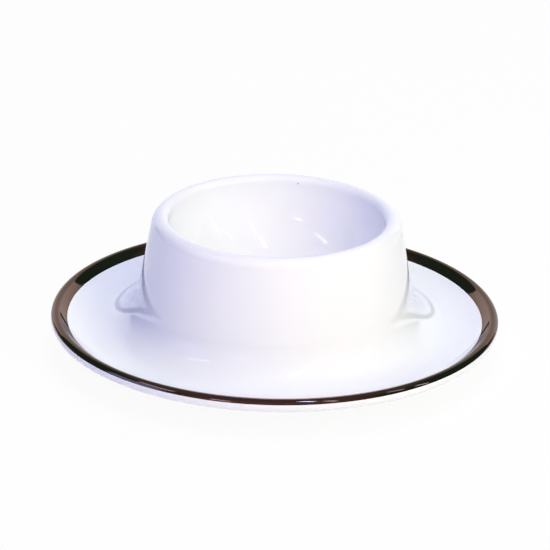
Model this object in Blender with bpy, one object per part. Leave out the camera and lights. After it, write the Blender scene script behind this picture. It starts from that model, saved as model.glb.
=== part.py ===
"""Egg cup standing on its own saucer: glazed porcelain with a metal band fired round the saucer's rim.

Lengths are metres. Every piece is turned round the Z axis, and the foot ring stands on the plane z = 0.
"""

from math import acos, asin, atan, atan2, cos, hypot, pi, radians, sin, tan

import bpy

# Saucer: foot ring, dish and raised rim
SAUCER_RADIUS = 0.05
FOOT_HEIGHT = 0.0028
FOOT_WIDTH = 0.0024
FOOT_SETBACK = 0.0022
FOOT_DRAFT = radians(15)
FOOT_ROUNDING = 0.0005
DISH_THICKNESS = 0.0031
DISH_SLOPE = radians(35)
RIM_WIDTH = 0.00255
RIM_DEPTH = 0.0029
RIM_FLANK = radians(45)
RIM_COVE = 0.0115
SEAT_DEPTH = 0.001

# Cup: outer wall, rolled lip, egg bowl and the hollow below it
CUP_HEIGHT = 0.0261
LIP_RADIUS = 0.0255
LIP_OUTER_WIDTH = 0.0024
LIP_OUTER_DROP = 0.0031
LIP_INNER_ROUNDING = 0.0015
WALL_SLOPE = radians(10)
WALL_THICKNESS = 0.0036
BOWL_DEPTH = 0.0214
HOLLOW_DROP = 0.0155

# Slip fillet in the corner between cup and saucer
FILLET_RADIUS = 0.0098

# Metal band over the rim, ending on the outside just above the rim's widest line
BAND_THICKNESS = 0.0004
BAND_END = radians(22)

# Gap left between pieces that touch
CLEARANCE = 0.0003

# Fineness of the turned surfaces
TURN_STEPS = 64
BOWL_STEPS = 10
DISH_STEPS = 5
NOSE_STEPS = 7
ROUND_STEPS = 4

# Heights and radii that follow from the sizes above
FLOOR = FOOT_HEIGHT + DISH_THICKNESS
LIP_TOP = FLOOR + CUP_HEIGHT
LIP_END = atan(tan(WALL_SLOPE) * LIP_OUTER_DROP / LIP_OUTER_WIDTH)
WALL_TOP = LIP_TOP - LIP_OUTER_DROP * (1 - sin(LIP_END))
WALL_TOP_RADIUS = LIP_RADIUS + LIP_OUTER_WIDTH * cos(LIP_END)
CUP_BASE = FLOOR - SEAT_DEPTH + CLEARANCE


def wall_radius(height, depth=0.0):
    """Radius of the cup's sloping wall at a height, this deep under its outer face."""
    return WALL_TOP_RADIUS + (WALL_TOP - height) * tan(WALL_SLOPE) - depth / cos(WALL_SLOPE)


HOLE_RADIUS = wall_radius(CUP_BASE, WALL_THICKNESS)
FILLET_FOOT = wall_radius(FLOOR) + FILLET_RADIUS * (1 / cos(WALL_SLOPE) - tan(WALL_SLOPE))


def arc(centre, width, height, start, end, steps):
    """Points on an ellipse round a centre, from one angle to another, both ends included."""
    points = []
    for step in range(steps + 1):
        angle = start + (end - start) * step / steps
        points.append((centre[0] + width * cos(angle), centre[1] + height * sin(angle)))
    return points


def rim_curve(trim=0.0):
    """The rim's upper face, where the band lies, as points with the direction that each one faces.

    It leaves the dish at the dish's slope, turns up through a cove to the steep inner flank, and
    goes over the rounded nose to the band's lower edge. Heights are above the nose's middle.
    The trim is the length left off at each end.
    """
    nose = SAUCER_RADIUS - RIM_WIDTH / 2
    half_width = RIM_WIDTH / 2
    half_depth = RIM_DEPTH / 2
    flank = pi / 2 + atan(tan(RIM_FLANK) * half_width / half_depth)
    flank_radius = nose + half_width * cos(flank)
    flank_height = half_depth * sin(flank)
    cove_radius = flank_radius - RIM_COVE * sin(RIM_FLANK)
    cove_height = flank_height + RIM_COVE * cos(RIM_FLANK)
    start = DISH_SLOPE + trim / RIM_COVE
    end = BAND_END + trim / hypot(half_width * sin(BAND_END), half_depth * cos(BAND_END))
    curve = []
    for step in range(ROUND_STEPS):
        slope = start + (RIM_FLANK - start) * step / ROUND_STEPS
        point = (cove_radius + RIM_COVE * sin(slope), cove_height - RIM_COVE * cos(slope))
        curve.append((point, (-sin(slope), cos(slope))))
    for step in range(NOSE_STEPS + 1):
        angle = flank + (end - flank) * step / NOSE_STEPS
        point = (nose + half_width * cos(angle), half_depth * sin(angle))
        facing = (cos(angle) / half_width, sin(angle) / half_depth)
        length = hypot(*facing)
        curve.append((point, (facing[0] / length, facing[1] / length)))
    return curve


RIM_INNER_RADIUS = rim_curve()[0][0][0]
DISH_RISE = (RIM_INNER_RADIUS - FILLET_FOOT) * tan(DISH_SLOPE / 2)
NOSE_HEIGHT = FLOOR + DISH_RISE - rim_curve()[0][0][1]


def sunk(curve, depth):
    """The rim curve at its real height, moved this far into the saucer."""
    points = []
    for point, facing in curve:
        radius = point[0] - depth * facing[0]
        height = point[1] - depth * facing[1]
        points.append((radius, NOSE_HEIGHT + height))
    return points


def underside_touch(nose):
    """Angle on the rim's nose where the straight underside, rising from below the dish's floor, meets it."""
    across = (FILLET_FOOT - nose[0]) / (RIM_WIDTH / 2)
    up = (FOOT_HEIGHT - nose[1]) / (RIM_DEPTH / 2)
    return atan2(up, across) + acos(1 / hypot(across, up))


def saucer_outline():
    """Half section of the saucer, from the cup's seat out over the rim, under the dish and round the foot."""
    dish_radius = (RIM_INNER_RADIUS - FILLET_FOOT) / sin(DISH_SLOPE)
    dish_centre = (FILLET_FOOT, FLOOR + dish_radius)
    dish = arc(dish_centre, dish_radius, dish_radius, -pi / 2, DISH_SLOPE - pi / 2, DISH_STEPS)
    rebate = sunk(rim_curve(), BAND_THICKNESS + CLEARANCE)
    nose = (SAUCER_RADIUS - RIM_WIDTH / 2, NOSE_HEIGHT)
    under_nose = arc(nose, RIM_WIDTH / 2, RIM_DEPTH / 2, BAND_END, underside_touch(nose), NOSE_STEPS)

    foot_spread = FOOT_HEIGHT * tan(FOOT_DRAFT)
    foot_inner = HOLE_RADIUS + FOOT_SETBACK + foot_spread
    foot_outer = foot_inner + FOOT_WIDTH
    outer_corner = (foot_outer - FOOT_ROUNDING, FOOT_ROUNDING)
    inner_corner = (foot_inner + FOOT_ROUNDING, FOOT_ROUNDING)
    foot = [(FILLET_FOOT, FOOT_HEIGHT), (foot_outer + foot_spread, FOOT_HEIGHT)]
    foot += arc(outer_corner, FOOT_ROUNDING, FOOT_ROUNDING, -FOOT_DRAFT, -pi / 2, ROUND_STEPS)
    foot += arc(inner_corner, FOOT_ROUNDING, FOOT_ROUNDING, -pi / 2, FOOT_DRAFT - pi, ROUND_STEPS)
    foot += [(foot_inner - foot_spread, FOOT_HEIGHT)]

    seat = FLOOR - SEAT_DEPTH
    seat_radius = wall_radius(CUP_BASE) + CLEARANCE
    cup_seat = [(HOLE_RADIUS, FOOT_HEIGHT), (HOLE_RADIUS, seat), (seat_radius, seat), (seat_radius, FLOOR)]
    return dish + rebate + under_nose + foot + cup_seat


def cup_outline():
    """Half section of the cup: up the egg bowl, over the lip, down the wall and back under the bowl."""
    bowl_top = LIP_TOP - LIP_INNER_ROUNDING
    bowl_radius = LIP_RADIUS - LIP_INNER_ROUNDING
    bowl_drop = BOWL_DEPTH - LIP_INNER_ROUNDING
    bowl = arc((0, bowl_top), bowl_radius, bowl_drop, -pi / 2, 0, BOWL_STEPS)
    bowl[0] = (0, LIP_TOP - BOWL_DEPTH)
    inner_lip_centre = (LIP_RADIUS, bowl_top)
    inner_lip = arc(inner_lip_centre, LIP_INNER_ROUNDING, LIP_INNER_ROUNDING, pi, pi / 2, ROUND_STEPS)
    outer_lip_centre = (LIP_RADIUS, LIP_TOP - LIP_OUTER_DROP)
    outer_lip = arc(outer_lip_centre, LIP_OUTER_WIDTH, LIP_OUTER_DROP, pi / 2, LIP_END, ROUND_STEPS)
    base = [(wall_radius(CUP_BASE), CUP_BASE), (HOLE_RADIUS, CUP_BASE)]

    hollow_top = LIP_TOP - HOLLOW_DROP
    under_width = bowl_radius + WALL_THICKNESS
    under_drop = bowl_drop + WALL_THICKNESS
    hollow_start = -asin((bowl_top - hollow_top) / under_drop)
    under_bowl = arc((0, bowl_top), under_width, under_drop, hollow_start, -pi / 2, BOWL_STEPS)
    under_bowl[-1] = (0, bowl_top - under_drop)
    hollow = [(wall_radius(hollow_top, WALL_THICKNESS), hollow_top)] + under_bowl
    return bowl + inner_lip[1:] + outer_lip[1:] + base + hollow


def fillet_outline():
    """Half section of the fillet: its hollow face, then the faces that lie on the saucer and the cup."""
    centre = (FILLET_FOOT, FLOOR + FILLET_RADIUS)
    feather = acos((FILLET_RADIUS - CLEARANCE) / FILLET_RADIUS)
    start = pi + WALL_SLOPE + feather
    end = 3 * pi / 2 - feather
    face = arc(centre, FILLET_RADIUS, FILLET_RADIUS, start, end, ROUND_STEPS + 1)
    corner = (wall_radius(FLOOR + CLEARANCE, -CLEARANCE), FLOOR + CLEARANCE)
    return face + [corner]


def band_outline():
    """Half section of the band: its face along the rim curve, and its underside."""
    curve = rim_curve(CLEARANCE)
    return sunk(curve, 0) + sunk(curve, BAND_THICKNESS)[::-1]


def finish(name, colour, roughness, metallic):
    """A material with one colour, roughness and metallic value."""
    material = bpy.data.materials.new(name)
    material.use_nodes = True
    shader = material.node_tree.nodes["Principled BSDF"]
    shader.inputs["Base Color"].default_value = (*colour, 1)
    shader.inputs["Roughness"].default_value = roughness
    shader.inputs["Metallic"].default_value = metallic
    return material


def turned(name, outline, material, closed):
    """A piece turned round the Z axis from its half section, which runs down its outer side."""
    points = [(radius, 0, height) for radius, height in outline]
    edges = [(index, index + 1) for index in range(len(points) - 1)]
    if closed:
        edges.append((len(points) - 1, 0))
    mesh = bpy.data.meshes.new(name)
    mesh.from_pydata(points, edges, [])
    mesh.materials.append(material)
    piece = bpy.data.objects.new(name, mesh)
    bpy.context.scene.collection.objects.link(piece)
    turn = piece.modifiers.new("turn", "SCREW")
    turn.axis = "Z"
    turn.angle = 2 * pi
    turn.steps = TURN_STEPS
    turn.render_steps = TURN_STEPS
    turn.use_merge_vertices = True
    turn.merge_threshold = 0.00001
    turn.use_smooth_shade = True
    return piece


for old in list(bpy.data.objects):
    bpy.data.objects.remove(old)

turned("saucer", saucer_outline(), finish("saucer_porcelain", (0.9, 0.9, 0.92), 0.08, 0), True)
turned("egg_cup", cup_outline(), finish("cup_porcelain", (0.9, 0.9, 0.92), 0.08, 0), False)
turned("slip_fillet", fillet_outline(), finish("fillet_porcelain", (0.9, 0.9, 0.92), 0.08, 0), True)
turned("rim_band", band_outline(), finish("metal_lustre", (0.16, 0.13, 0.11), 0.1, 1), True)
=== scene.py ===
from math import acos, asin, atan, atan2, cos, hypot, pi, radians, sin, tan

import bpy
from mathutils import Matrix, Vector


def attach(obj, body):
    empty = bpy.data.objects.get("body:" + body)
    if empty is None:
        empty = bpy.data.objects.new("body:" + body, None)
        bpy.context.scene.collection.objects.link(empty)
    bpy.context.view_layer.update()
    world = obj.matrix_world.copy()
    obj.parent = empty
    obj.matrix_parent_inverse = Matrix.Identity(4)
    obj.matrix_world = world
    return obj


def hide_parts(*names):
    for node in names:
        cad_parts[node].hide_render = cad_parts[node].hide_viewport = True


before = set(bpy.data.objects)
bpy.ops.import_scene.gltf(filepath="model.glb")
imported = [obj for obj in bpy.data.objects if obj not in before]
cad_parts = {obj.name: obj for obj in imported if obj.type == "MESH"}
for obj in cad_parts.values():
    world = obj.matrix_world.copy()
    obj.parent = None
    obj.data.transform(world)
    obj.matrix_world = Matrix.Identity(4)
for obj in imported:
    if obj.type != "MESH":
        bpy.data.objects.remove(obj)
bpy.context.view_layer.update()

# Egg cup
# A casting in white porcelain: a sloping wall, a rolled lip and a round bowl for one egg, hollow below.
# It stands in a shallow seat in the saucer, and one clear glaze is fired over both.
DISH_FLOOR = 0.0059
SEAT_DEPTH = 0.001
CUP_HEIGHT = 0.0261
LIP_RADIUS = 0.0255
LIP_OUTER_WIDTH = 0.0024
LIP_OUTER_DROP = 0.0031
LIP_INNER_ROUNDING = 0.0015
WALL_SLOPE = radians(10)
WALL_THICKNESS = 0.0036
BOWL_DEPTH = 0.0214
HOLLOW_DROP = 0.0155
HOLLOW_ROOF = 0.0022
TURN_STEPS = 288
BOWL_STEPS = 40
INNER_LIP_STEPS = 12
OUTER_LIP_STEPS = 16
ROOF_STEPS = 16
UNDER_BOWL_STEPS = 24

LIP_TOP = DISH_FLOOR + CUP_HEIGHT
LIP_END = atan(tan(WALL_SLOPE) * LIP_OUTER_DROP / LIP_OUTER_WIDTH)
WALL_TOP = LIP_TOP - LIP_OUTER_DROP * (1 - sin(LIP_END))
WALL_TOP_RADIUS = LIP_RADIUS + LIP_OUTER_WIDTH * cos(LIP_END)
CUP_BASE = DISH_FLOOR - SEAT_DEPTH


def wall_radius(height, depth=0.0):
    """Radius of the cup's sloping wall at a height, this deep under its outer face."""
    return WALL_TOP_RADIUS + (WALL_TOP - height) * tan(WALL_SLOPE) - depth / cos(WALL_SLOPE)


def straight(start, end):
    """A straight stretch of a half section: its two ends, with the way that it faces."""
    length = hypot(end[0] - start[0], end[1] - start[1])
    facing = ((start[1] - end[1]) / length, (end[0] - start[0]) / length)
    return [(start, facing), (end, facing)]


def arc(centre, width, height, start, end, steps):
    """A stretch of an ellipse: points with the way that each faces, hollow where the angle grows."""
    way = 1 if end > start else -1
    points = []
    for step in range(steps + 1):
        angle = start + (end - start) * step / steps
        point = (max(centre[0] + width * cos(angle), 0.0), centre[1] + height * sin(angle))
        facing = (-way * height * cos(angle), -way * width * sin(angle))
        length = hypot(*facing)
        points.append((point, (facing[0] / length, facing[1] / length)))
    return points


def turned(name, stretches):
    """A closed piece turned round the Z axis from a half section, shaded by the way each stretch faces."""
    touching = 1e-6
    corners = []
    rings = []
    faces = []
    facings = []

    def ring(point):
        for known, ring_corners in rings[-1:] + rings[:1]:
            if hypot(point[0] - known[0], point[1] - known[1]) < touching:
                return ring_corners
        count = 1 if point[0] < touching else TURN_STEPS
        first = len(corners)
        for step in range(count):
            turn = 2 * pi * step / TURN_STEPS
            corners.append((point[0] * cos(turn), point[0] * sin(turn), point[1]))
        ring_corners = [first + step % count for step in range(TURN_STEPS)]
        rings.append((point, ring_corners))
        return ring_corners

    def turned_facing(facing, step):
        turn = 2 * pi * step / TURN_STEPS
        return (facing[0] * cos(turn), facing[0] * sin(turn), facing[1])

    for stretch in stretches:
        for (point, facing), (next_point, next_facing) in zip(stretch, stretch[1:]):
            upper = ring(point)
            lower = ring(next_point)
            for step in range(TURN_STEPS):
                after = step + 1
                loop = [
                    (upper[step], facing, step),
                    (lower[step], next_facing, step),
                    (lower[after % TURN_STEPS], next_facing, after),
                    (upper[after % TURN_STEPS], facing, after),
                ]
                if loop[0][0] == loop[3][0]:
                    loop.pop(3)
                elif loop[1][0] == loop[2][0]:
                    loop.pop(2)
                faces.append([corner for corner, _, _ in loop])
                facings += [turned_facing(way, at) for _, way, at in loop]
    mesh = bpy.data.meshes.new(name)
    mesh.from_pydata(corners, [], faces)
    mesh.shade_smooth()
    mesh.normals_split_custom_set(facings)
    piece = bpy.data.objects.new(name, mesh)
    bpy.context.scene.collection.objects.link(piece)
    return piece


class Wire:
    """An output of a material's nodes that takes part in sums as a number does.

    Without an output of its own it still adds nodes to the material.
    """

    def __init__(self, tree, socket=None):
        self.tree = tree
        self.socket = socket

    def node(self, kind, settings, inputs, output=0):
        """A new node of this kind: its settings first, then the values or links of its inputs."""
        made = self.tree.nodes.new(kind)
        for name, value in settings.items():
            setattr(made, name, value)
        for name, value in inputs.items():
            if isinstance(value, Wire):
                self.tree.links.new(value.socket, made.inputs[name])
            else:
                made.inputs[name].default_value = value
        return Wire(self.tree, made.outputs[output])

    def sum(self, operation, *values):
        """The result of this operation of arithmetic on values or wires."""
        return self.node("ShaderNodeMath", {"operation": operation}, dict(enumerate(values)))

    def __add__(self, other):
        return self.sum("ADD", self, other)

    def __sub__(self, other):
        return self.sum("SUBTRACT", self, other)

    def __rsub__(self, other):
        return self.sum("SUBTRACT", other, self)

    def __mul__(self, other):
        return self.sum("MULTIPLY", self, other)

    __radd__ = __add__
    __rmul__ = __mul__

    def rise(self, low, high):
        """Goes smoothly from 0 at the low value to 1 at the high one."""
        settings = {"interpolation_type": "SMOOTHSTEP"}
        return self.node("ShaderNodeMapRange", settings, {"Value": self, "From Min": low, "From Max": high})

    def blend(self, first, second):
        """Colour that goes from the first to the second as this value goes from 0 to 1."""
        inputs = {"Factor": self, 6: first, 7: second}
        return self.node("ShaderNodeMix", {"data_type": "RGBA"}, inputs, 2)

    def along(self, axis):
        """One coordinate of a place or a direction."""
        return self.node("ShaderNodeSeparateXYZ", {}, {"Vector": self}, axis)

    def clouds(self, scale, detail):
        """Cloudy values between 0 and 1 over a place, with about this many clouds to the metre."""
        return self.node("ShaderNodeTexNoise", {}, {"Vector": self, "Scale": scale, "Detail": detail})


def surface(name):
    """A new material, with its shader, a wire that adds its nodes, and the place in the part's frame."""
    material = bpy.data.materials.new(name)
    material.use_nodes = True
    wire = Wire(material.node_tree)
    place = wire.node("ShaderNodeTexCoord", {}, {}, "Object")
    return material, material.node_tree.nodes["Principled BSDF"], wire, place


def feed(shader, name, wire):
    """Links a wire to the shader's input of this name."""
    wire.tree.links.new(wire.socket, shader.inputs[name])


WHITE_BODY = (0.895, 0.9, 0.91, 1)
THIN_GLAZE = (0.908, 0.905, 0.9, 1)
POOLED_GLAZE = (0.878, 0.893, 0.908, 1)
GLAZE_CLOUDS = 45
THIN_START = 0.35
THIN_FULL = 0.7
POOL_DEEP = 0.0065
POOL_EDGE = 0.0125
POOL_EVEN = 0.4
POOL_CLOUDED = 0.6
CREST_FOOT = 0.0306
PINHOLE_GREY = (0.8, 0.79, 0.77, 1)
PINHOLE_SCALE = 90
PINHOLE_CORE = 0.006
PINHOLE_EDGE = 0.014
SPECK_GREY = (0.56, 0.54, 0.53, 1)
SPECK_PLACE = (0.0047, 0.02365, 0.0306)
SPECK_SIZE = 0.0003
GLAZE_INDEX = 1.52
GLAZE_ROUGHNESS = 0.035
MOTTLE_SCALE = 160
MOTTLE_LOW = 0.8
MOTTLE_RANGE = 0.4
RIPPLE_SCALE = 110
RIPPLE_STRENGTH = 0.06
RIPPLE_HEIGHT = 0.0006
BARE_BODY = (0.8, 0.78, 0.74, 1)
BARE_SHADE = (0.72, 0.7, 0.66, 1)
BARE_ROUGHNESS = 0.5
BARE_FADE = 0.4
GRAIN_SCALE = 2400
GRAIN_START = 0.3
GRAIN_FULL = 0.7


def glazed(name, specks=(), bare_below=None):
    """Clear glaze over white porcelain: it pools low down, thins on the crest, and has pinholes and specks.

    Below the bare height, where one is given, the body is left unglazed and grainy.
    """
    material, shader, wire, place = surface(name)
    height = place.along("Z")
    clouds = place.clouds(GLAZE_CLOUDS, detail=2)
    colour = clouds.rise(THIN_START, THIN_FULL).blend(WHITE_BODY, THIN_GLAZE)
    pooled = (1 - height.rise(POOL_DEEP, POOL_EDGE)) * (POOL_EVEN + POOL_CLOUDED * clouds)
    colour = pooled.blend(colour, POOLED_GLAZE)
    colour = height.rise(CREST_FOOT, LIP_TOP).blend(colour, THIN_GLAZE)
    pinhole = wire.node("ShaderNodeTexVoronoi", {}, {"Vector": place, "Scale": PINHOLE_SCALE}, "Distance")
    colour = pinhole.rise(PINHOLE_CORE, PINHOLE_EDGE).blend(PINHOLE_GREY, colour)
    for speck, size in specks:
        gap = wire.node("ShaderNodeVectorMath", {"operation": "DISTANCE"}, {0: place, 1: speck}, "Value")
        colour = gap.rise(size / 2, size).blend(SPECK_GREY, colour)
    mottle = place.clouds(MOTTLE_SCALE, detail=1)
    roughness = GLAZE_ROUGHNESS * (MOTTLE_LOW + MOTTLE_RANGE * mottle)
    relief = place.clouds(RIPPLE_SCALE, detail=1)
    if bare_below:
        bare = 1 - height.rise(BARE_FADE * bare_below, bare_below)
        grain = place.clouds(GRAIN_SCALE, detail=3)
        body = grain.rise(GRAIN_START, GRAIN_FULL).blend(BARE_BODY, BARE_SHADE)
        colour = bare.blend(colour, body)
        roughness = roughness + bare * BARE_ROUGHNESS
        relief = relief + bare * grain
    feed(shader, "Base Color", colour)
    feed(shader, "Roughness", roughness)
    ripple = {"Strength": RIPPLE_STRENGTH, "Distance": RIPPLE_HEIGHT, "Height": relief}
    feed(shader, "Normal", wire.node("ShaderNodeBump", {}, ripple))
    shader.inputs["IOR"].default_value = GLAZE_INDEX
    return material


BOWL_TOP = LIP_TOP - LIP_INNER_ROUNDING
BOWL_RADIUS = LIP_RADIUS - LIP_INNER_ROUNDING
BOWL_DROP = BOWL_DEPTH - LIP_INNER_ROUNDING
HOLE_RADIUS = wall_radius(CUP_BASE, WALL_THICKNESS)

bowl_centre = (0, BOWL_TOP)
inner_lip_centre = (LIP_RADIUS, BOWL_TOP)
outer_lip_centre = (LIP_RADIUS, LIP_TOP - LIP_OUTER_DROP)
wall_foot = (wall_radius(CUP_BASE), CUP_BASE)
hole_edge = (HOLE_RADIUS, CUP_BASE)
under_width = BOWL_RADIUS + WALL_THICKNESS
under_drop = BOWL_DROP + WALL_THICKNESS
roof_foot = LIP_TOP - HOLLOW_DROP - HOLLOW_ROOF
under_start = -asin((BOWL_TOP - roof_foot) / under_drop)
roof_inner = under_width * cos(under_start)
roof_outer = wall_radius(roof_foot, WALL_THICKNESS)
roof_centre = ((roof_inner + roof_outer) / 2, roof_foot)

egg_cup = turned("glazed_egg_cup", [
    arc(bowl_centre, BOWL_RADIUS, BOWL_DROP, -pi / 2, 0, BOWL_STEPS),
    arc(inner_lip_centre, LIP_INNER_ROUNDING, LIP_INNER_ROUNDING, pi, pi / 2, INNER_LIP_STEPS),
    arc(outer_lip_centre, LIP_OUTER_WIDTH, LIP_OUTER_DROP, pi / 2, LIP_END, OUTER_LIP_STEPS),
    straight((WALL_TOP_RADIUS, WALL_TOP), wall_foot),
    straight(wall_foot, hole_edge),
    straight(hole_edge, (roof_outer, roof_foot)),
    arc(roof_centre, (roof_outer - roof_inner) / 2, HOLLOW_ROOF, 0, pi, ROOF_STEPS),
    arc(bowl_centre, under_width, under_drop, under_start, -pi / 2, UNDER_BOWL_STEPS),
])
egg_cup.data.materials.append(glazed("cup_glaze", [(SPECK_PLACE, SPECK_SIZE)]))
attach(egg_cup, "root")
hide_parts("egg_cup")

# Slip fillet
# The sweep of casting slip that lutes the cup's wall to the dish, sponged to a hollow curve before firing.
# It runs out to nothing on the wall and on the dish, and the glaze lies over it without a break.
FILLET_RADIUS = 0.0098
FILLET_STEPS = 28
FILLET_FOOT = wall_radius(DISH_FLOOR) + FILLET_RADIUS * (1 / cos(WALL_SLOPE) - tan(WALL_SLOPE))

fillet_centre = (FILLET_FOOT, DISH_FLOOR + FILLET_RADIUS)
fillet_face = arc(fillet_centre, FILLET_RADIUS, FILLET_RADIUS, pi + WALL_SLOPE, 3 * pi / 2, FILLET_STEPS)
fillet_corner = (wall_radius(DISH_FLOOR), DISH_FLOOR)

slip_fillet = turned("glazed_slip_fillet", [
    fillet_face,
    straight(fillet_face[-1][0], fillet_corner),
    straight(fillet_corner, fillet_face[0][0]),
])
slip_fillet.data.materials.append(glazed("fillet_glaze"))
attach(slip_fillet, "root")
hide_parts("slip_fillet")

# Saucer
# A turned porcelain dish with a raised rim, a ring foot and a seat for the cup, glazed all over
# except the foot ring's standing face, which stays bare so that the ware doesn't stick in the kiln.
SAUCER_RADIUS = 0.049996
DISH_SLOPE = radians(35)
DISH_STEPS = 24
RIM_WIDTH = 0.00255
RIM_DEPTH = 0.0029
RIM_FLANK = radians(45)
RIM_COVE = 0.0115
COVE_STEPS = 10
CREST_STEPS = 24
NOSE_STEPS = 48
BAND_DEPTH = 0.0002
BAND_END = radians(22)
KNEE_ROUNDING = 0.009
KNEE_STEPS = 10
FOOT_HEIGHT = 0.0028
FOOT_WIDTH = 0.0024
FOOT_SETBACK = 0.0022
FOOT_DRAFT = radians(15)
FOOT_ROUNDING = 0.0005
FOOT_ROOT_ROUNDING = 0.0008
FOOT_STEPS = 8
HOLE_ROUNDING = 0.0004
HOLE_STEPS = 6

NOSE_RADIUS = SAUCER_RADIUS - RIM_WIDTH / 2
FLANK_ANGLE = pi / 2 + atan(tan(RIM_FLANK) * RIM_WIDTH / RIM_DEPTH)
FLANK_RADIUS = NOSE_RADIUS + RIM_WIDTH / 2 * cos(FLANK_ANGLE)
COVE_RADIUS = FLANK_RADIUS - RIM_COVE * sin(RIM_FLANK)
RIM_INNER_RADIUS = COVE_RADIUS + RIM_COVE * sin(DISH_SLOPE)
RIM_INNER_HEIGHT = DISH_FLOOR + (RIM_INNER_RADIUS - FILLET_FOOT) * tan(DISH_SLOPE / 2)
COVE_HEIGHT = RIM_INNER_HEIGHT + RIM_COVE * cos(DISH_SLOPE)
NOSE_HEIGHT = COVE_HEIGHT - RIM_COVE * cos(RIM_FLANK) - RIM_DEPTH / 2 * sin(FLANK_ANGLE)

nose = (NOSE_RADIUS, NOSE_HEIGHT)


def rim_face(depth):
    """The two stretches of the rim's upper face that the band covers, sunk this far into the saucer."""
    cove_centre = (COVE_RADIUS, COVE_HEIGHT)
    cove = arc(cove_centre, RIM_COVE, RIM_COVE, DISH_SLOPE - pi / 2, RIM_FLANK - pi / 2, COVE_STEPS)
    crest = arc(nose, RIM_WIDTH / 2, RIM_DEPTH / 2, FLANK_ANGLE, BAND_END, CREST_STEPS)
    sunk = []
    for stretch in (cove, crest):
        sunk.append([((p[0] - depth * way[0], p[1] - depth * way[1]), way) for p, way in stretch])
    return sunk


def rounded(corner, before, after, radius, steps):
    """A round of this radius in place of the corner between the straight lines from before and to after."""
    into = Vector(corner) - Vector(before)
    out = Vector(after) - Vector(corner)
    into.normalize()
    out.normalize()
    bend = atan2(into.x * out.y - into.y * out.x, into.dot(out))
    reach = radius * tan(abs(bend) / 2)
    first = Vector(corner) - into * reach
    side = Vector((-into.y, into.x)) * (1 if bend > 0 else -1)
    centre = first + side * radius
    start = atan2(first.y - centre.y, first.x - centre.x)
    return arc(centre, radius, radius, start, start + bend, steps)


def joined(rounds):
    """The stretches of a half section that runs through these rounds with straight lines between them."""
    stretches = [rounds[0]]
    for earlier, later in zip(rounds, rounds[1:]):
        stretches.append(straight(earlier[-1][0], later[0][0]))
        stretches.append(later)
    return stretches


knee = (FILLET_FOOT, FOOT_HEIGHT)
across = (knee[0] - nose[0]) / (RIM_WIDTH / 2)
up = (knee[1] - nose[1]) / (RIM_DEPTH / 2)
underside_touch = atan2(up, across) + acos(1 / hypot(across, up))
under_nose = arc(nose, RIM_WIDTH / 2, RIM_DEPTH / 2, BAND_END, underside_touch, NOSE_STEPS)

foot_spread = FOOT_HEIGHT * tan(FOOT_DRAFT)
foot_inner = HOLE_RADIUS + FOOT_SETBACK + foot_spread
foot_outer = foot_inner + FOOT_WIDTH
outer_root = (foot_outer + foot_spread, FOOT_HEIGHT)
outer_toe = (foot_outer, 0)
inner_toe = (foot_inner, 0)
inner_root = (foot_inner - foot_spread, FOOT_HEIGHT)
hole_foot = (HOLE_RADIUS, FOOT_HEIGHT)
underside = joined([
    under_nose,
    rounded(knee, under_nose[-1][0], outer_root, KNEE_ROUNDING, KNEE_STEPS),
    rounded(outer_root, knee, outer_toe, FOOT_ROOT_ROUNDING, FOOT_STEPS),
    rounded(outer_toe, outer_root, inner_toe, FOOT_ROUNDING, FOOT_STEPS),
    rounded(inner_toe, outer_toe, inner_root, FOOT_ROUNDING, FOOT_STEPS),
    rounded(inner_root, inner_toe, hole_foot, FOOT_ROOT_ROUNDING, FOOT_STEPS),
    rounded(hole_foot, inner_root, hole_edge, HOLE_ROUNDING, HOLE_STEPS),
])
dish_radius = (RIM_INNER_RADIUS - FILLET_FOOT) / sin(DISH_SLOPE)
dish_centre = (FILLET_FOOT, DISH_FLOOR + dish_radius)
dish = arc(dish_centre, dish_radius, dish_radius, -pi / 2, DISH_SLOPE - pi / 2, DISH_STEPS)
rebate = rim_face(BAND_DEPTH)

saucer = turned("glazed_saucer", [
    dish,
    straight(dish[-1][0], rebate[0][0][0]),
    *rebate,
    straight(rebate[1][-1][0], under_nose[0][0]),
    *underside,
    straight(underside[-1][-1][0], hole_edge),
    straight(hole_edge, wall_foot),
    straight(wall_foot, fillet_corner),
    straight(fillet_corner, dish[0][0]),
])
saucer.data.materials.append(glazed("saucer_glaze", bare_below=FOOT_ROUNDING))
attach(saucer, "root")
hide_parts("saucer")

# Rim band
# Metal lustre painted on the glazed rim with a banding wheel and fired at a low heat to a dark mirror.
# It covers the inner flank and the crest of the rim, and stops just above the rim's widest line.
LUSTRE = (0.3, 0.2, 0.16, 1)
LUSTRE_DARK = (0.265, 0.175, 0.14, 1)
LUSTRE_THIN = (0.27, 0.135, 0.1, 1)
LUSTRE_EDGE = (0.58, 0.585, 0.6, 1)
LUSTRE_ROUGHNESS = 0.02
LUSTRE_CLOUDS = 90
STREAK_CLOUDED = 0.6
STREAK_BRUSHED = 0.4
STREAK_START = 0.35
STREAK_FULL = 0.65
BRUSH_LINES = 3000
BRUSH_ROUGHNESS = 0.04
BRUSH_STRENGTH = 0.03
BRUSH_HEIGHT = 0.0001
EDGE_FADE = 0.0004
EDGE_THINNING = 0.8
EDGE_ROUGHNESS = 0.05

band_face = rim_face(0)
band_back = []
for stretch in reversed(rim_face(BAND_DEPTH)):
    band_back.append([(point, (-way[0], -way[1])) for point, way in reversed(stretch)])
band_start = band_face[0][0][0]
band_end = band_face[1][-1][0]

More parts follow.
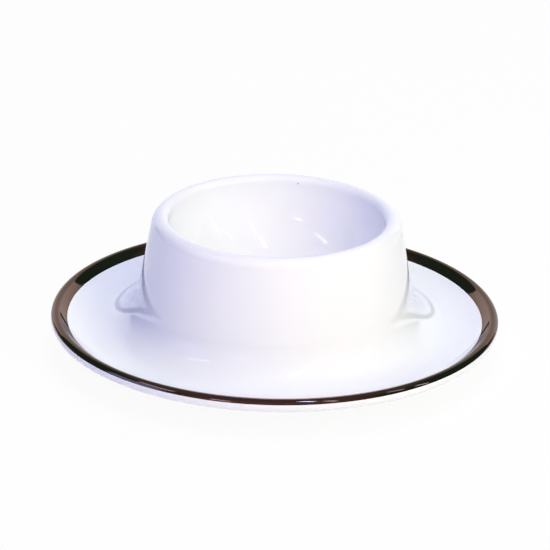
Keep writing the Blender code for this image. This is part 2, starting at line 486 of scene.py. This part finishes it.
rim_band = turned("lustre_rim_band", [
    *band_face,
    straight(band_end, band_back[0][0][0]),
    *band_back,
    straight(band_back[1][-1][0], band_start),
])
lustre, shader, wire, place = surface("rim_lustre")
flat_place = wire.node("ShaderNodeVectorMath", {"operation": "MULTIPLY"}, {0: place, 1: (1, 1, 0)})
radius = wire.node("ShaderNodeVectorMath", {"operation": "LENGTH"}, {0: flat_place}, "Value")
heading = wire.node("ShaderNodeVectorMath", {"operation": "NORMALIZE"}, {0: flat_place})
height = place.along("Z")
brush_path = {"Vector": heading, "W": (radius + height) * BRUSH_LINES, "Scale": 1, "Detail": 2}
brushed = wire.node("ShaderNodeTexNoise", {"noise_dimensions": "4D"}, brush_path)
streaks = STREAK_CLOUDED * place.clouds(LUSTRE_CLOUDS, detail=3) + STREAK_BRUSHED * brushed
film = streaks.rise(STREAK_START, STREAK_FULL).blend(LUSTRE, LUSTRE_DARK)
inner_edge = 1 - radius.rise(band_start[0], band_start[0] + EDGE_FADE)
outer_edge = 1 - height.rise(band_end[1], band_end[1] + EDGE_FADE)
thinned = wire.sum("MAXIMUM", inner_edge, outer_edge * radius.rise(NOSE_RADIUS, SAUCER_RADIUS))
feed(shader, "Base Color", (EDGE_THINNING * thinned).blend(film, LUSTRE_THIN))
feed(shader, "Roughness", LUSTRE_ROUGHNESS + BRUSH_ROUGHNESS * brushed + EDGE_ROUGHNESS * thinned)
strokes = {"Strength": BRUSH_STRENGTH, "Distance": BRUSH_HEIGHT, "Height": brushed}
feed(shader, "Normal", wire.node("ShaderNodeBump", {}, strokes))
shader.inputs["Specular Tint"].default_value = LUSTRE_EDGE
shader.inputs["Metallic"].default_value = 1
rim_band.data.materials.append(lustre)
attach(rim_band, "root")
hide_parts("rim_band")

# Table top
# A plain white top, wide enough to fill the picture, that takes the soft shadow of the ware.
# To the eye and in mirrors it glows to an even white, and to the lamps it is plain matt paint.
TABLE_REACH = 3.0
TABLE_WHITE = (0.93, 0.89, 0.84, 1)
TABLE_ROUGHNESS = 0.7
TABLE_GLOW = 0.93


def ray_is(wire, *kinds):
    """1 for a ray of one of these kinds, and 0 for any other."""
    hits = [wire.node("ShaderNodeLightPath", {}, {}, kind) for kind in kinds]
    return wire.sum("MINIMUM", sum(hits[1:], hits[0]), 1)


corners = [(-TABLE_REACH, -TABLE_REACH, 0), (TABLE_REACH, -TABLE_REACH, 0)]
corners += [(TABLE_REACH, TABLE_REACH, 0), (-TABLE_REACH, TABLE_REACH, 0)]
table_mesh = bpy.data.meshes.new("table_top")
table_mesh.from_pydata(corners, [], [(0, 1, 2, 3)])
table = bpy.data.objects.new("table_top", table_mesh)
bpy.context.scene.collection.objects.link(table)
table_paint, shader, wire = surface("table_white")[:3]
shader.inputs["Base Color"].default_value = TABLE_WHITE
shader.inputs["Roughness"].default_value = TABLE_ROUGHNESS
seen = ray_is(wire, "Is Camera Ray", "Is Glossy Ray", "Is Transmission Ray")
glow = wire.node("ShaderNodeEmission", {}, {"Color": (1, 1, 1, 1), "Strength": 1})
paint = Wire(table_paint.node_tree, shader.outputs[0])
mixed = wire.node("ShaderNodeMixShader", {}, {0: seen * TABLE_GLOW, 1: paint, 2: glow})
feed(table_paint.node_tree.nodes["Material Output"], "Surface", mixed)
table_mesh.materials.append(table_paint)

# Studio light
# A warm softbox in four panels at the front right, with more panels round about and a small spot.
# They are kept out of reflections, which show a dim room with a white paper sweep behind the table,
# and narrow bright lamps that only make sparkles.


def lamp(name, azimuth, elevation, distance, width, height, glow, sparkles=False):
    """A soft rectangular lamp that faces the part, with a glow in red, green and blue.

    Azimuth 0 is to the right of the part and 270 is in front of it. Sparkles show in reflections alone.
    """
    data = bpy.data.lights.new(name, "AREA")
    data.shape = "RECTANGLE"
    data.size = width
    data.size_y = height
    data.energy = max(glow) * pi * width * height
    data.color = [part / max(glow) for part in glow]
    lamp_object = bpy.data.objects.new(name, data)
    level = cos(radians(elevation))
    way = Vector((level * cos(radians(azimuth)), level * sin(radians(azimuth)), sin(radians(elevation))))
    lamp_object.location = distance * way
    lamp_object.rotation_euler = way.to_track_quat("Z", "Y").to_euler()
    lamp_object.visible_glossy = sparkles
    lamp_object.visible_diffuse = not sparkles
    bpy.context.scene.collection.objects.link(lamp_object)


# The softbox, from its foot up
lamp("key_foot", 304, 12, 1.0, 0.4, 0.25, (3.75, 3.85, 1.8))
lamp("key_low", 304, 27, 1.0, 0.4, 0.25, (4.3, 3.6, 1.2))
lamp("key_middle", 304, 42, 1.0, 0.4, 0.25, (2.3, 1.8, 0.6))
lamp("key_top", 304, 57, 1.0, 0.4, 0.25, (2.0, 1.75, 0.8))
# Panels beside, in front, above and behind, and the spot
lamp("right_fill", 335, 25, 1.0, 0.35, 0.4, (1.05, 1.5, 0.6))
lamp("right_wall", 5, 20, 1.0, 0.4, 0.35, (0.7, 0.5, 0.9))
lamp("left_fill", 250, 25, 1.0, 0.35, 0.5, (0.6, 0.05, 1.5))
lamp("front_low", 278, 20, 1.0, 0.35, 0.4, (3.65, 3.55, 3.0))
lamp("front_high", 278, 65, 1.0, 0.35, 0.4, (2.1, 2.05, 2.05))
lamp("ceiling", 300, 84, 1.0, 0.5, 0.5, (4.3, 4.25, 3.4))
lamp("paper", 90, 22, 1.0, 1.0, 0.6, (1.4, 1.5, 1.7))
lamp("spot", 44, 70, 0.9, 0.05, 0.05, (73, 73, 73))
# Sparkles
lamp("left_tube", 199, 46, 0.6, 0.19, 0.03, (3.4, 4, 5.2), True)
lamp("left_front_tube", 243, 35, 0.6, 0.09, 0.035, (3.6, 4.1, 5.2), True)
lamp("left_window", 197, 24, 0.6, 0.32, 0.22, (0.33, 0.48, 1.1), True)
lamp("right_strip_1", 351, 28, 0.6, 0.02, 0.17, (3, 3.3, 4), True)
lamp("right_strip_2", 344, 44, 0.6, 0.02, 0.13, (3, 3.3, 4), True)
lamp("right_strip_3", 305, 50, 0.6, 0.025, 0.16, (2.4, 2.6, 3.2), True)
lamp("top_strip", 300, 68, 0.6, 0.03, 0.13, (4.5, 8, 15), True)

SKY_FILL = (0.14, 0.19, 0.49, 1)
ROOM_DARK = (0.033, 0.068, 0.05, 1)
ROOM_CEILING = (0.14, 0.105, 0.12, 1)
ROOM_FRONT = (0.25, 0.15, 0.16, 1)
CEILING_START = 0.73
CEILING_FULL = 0.83
FRONT_START = -0.35
FRONT_FULL = -0.75
PAPER_WHITE = (1, 1, 1, 1)
PAPER_TOP = 0.31
PAPER_TOP_LEAN = 0.9
PAPER_WIDTH = 0.7
PAPER_FLARE = 0.63
PAPER_INSET = 0.02
PAPER_EDGE = 0.015
PAPER_SHADE = 0.7
PAPER_SHADE_TOP = 0.68

world = bpy.data.worlds.new("studio")
bpy.context.scene.world = world
world.use_nodes = True
wire = Wire(world.node_tree)
way = wire.node("ShaderNodeTexCoord", {}, {}, "Generated")
to_right = way.along("X")
to_back = way.along("Y")
upwards = way.along("Z")
room = upwards.rise(CEILING_START, CEILING_FULL).blend(ROOM_DARK, ROOM_CEILING)
room = to_back.rise(FRONT_START, FRONT_FULL).blend(room, ROOM_FRONT)
paper_top = PAPER_TOP_LEAN * to_back - upwards + PAPER_TOP
paper_side = PAPER_WIDTH * to_back + PAPER_FLARE * upwards - PAPER_INSET
paper_half = wire.sum("MINIMUM", paper_top, paper_side)
paper_inside = (paper_half - wire.sum("ABSOLUTE", to_right)).rise(-PAPER_EDGE, PAPER_EDGE)
paper_light = 1 - PAPER_SHADE * upwards.rise(0, PAPER_SHADE_TOP)
room = (paper_inside * paper_light).blend(room, PAPER_WHITE)
sky = ray_is(wire, "Is Glossy Ray", "Is Transmission Ray").blend(SKY_FILL, room)
sky = ray_is(wire, "Is Camera Ray").blend(sky, PAPER_WHITE)
feed(world.node_tree.nodes["Background"], "Color", sky)

# Camera
# Fitted to the outlines of the rim, band and lip in the photo: a long lens, a little roll.
# It stands in front of the part, above it, and looks down on it.
PICTURE_WIDTH = 550
SENSOR_WIDTH = 36
FOCAL_PIXELS = 3153.8
CAMERA_ASIDE = -0.00013
CAMERA_DISTANCE = 0.65
CAMERA_HEIGHT = 0.28355
CAMERA_PITCH = radians(22.252)
CAMERA_ROLL = radians(1.226)

camera_data = bpy.data.cameras.new("camera")
camera_data.sensor_width = SENSOR_WIDTH
camera_data.lens = FOCAL_PIXELS / PICTURE_WIDTH * SENSOR_WIDTH
camera = bpy.data.objects.new("camera", camera_data)
ahead = Vector((0, cos(CAMERA_PITCH), -sin(CAMERA_PITCH)))
level_right = Vector((1, 0, 0))
level_up = level_right.cross(ahead)
right = cos(CAMERA_ROLL) * level_right + sin(CAMERA_ROLL) * level_up
upward = cos(CAMERA_ROLL) * level_up - sin(CAMERA_ROLL) * level_right
camera.matrix_world = (
    Matrix.Translation((CAMERA_ASIDE, -CAMERA_DISTANCE, CAMERA_HEIGHT))
    @ Matrix((right, upward, -ahead)).transposed().to_4x4()
)
bpy.context.scene.collection.objects.link(camera)
bpy.context.scene.camera = camera
bpy.context.scene.view_settings.view_transform = "Standard"
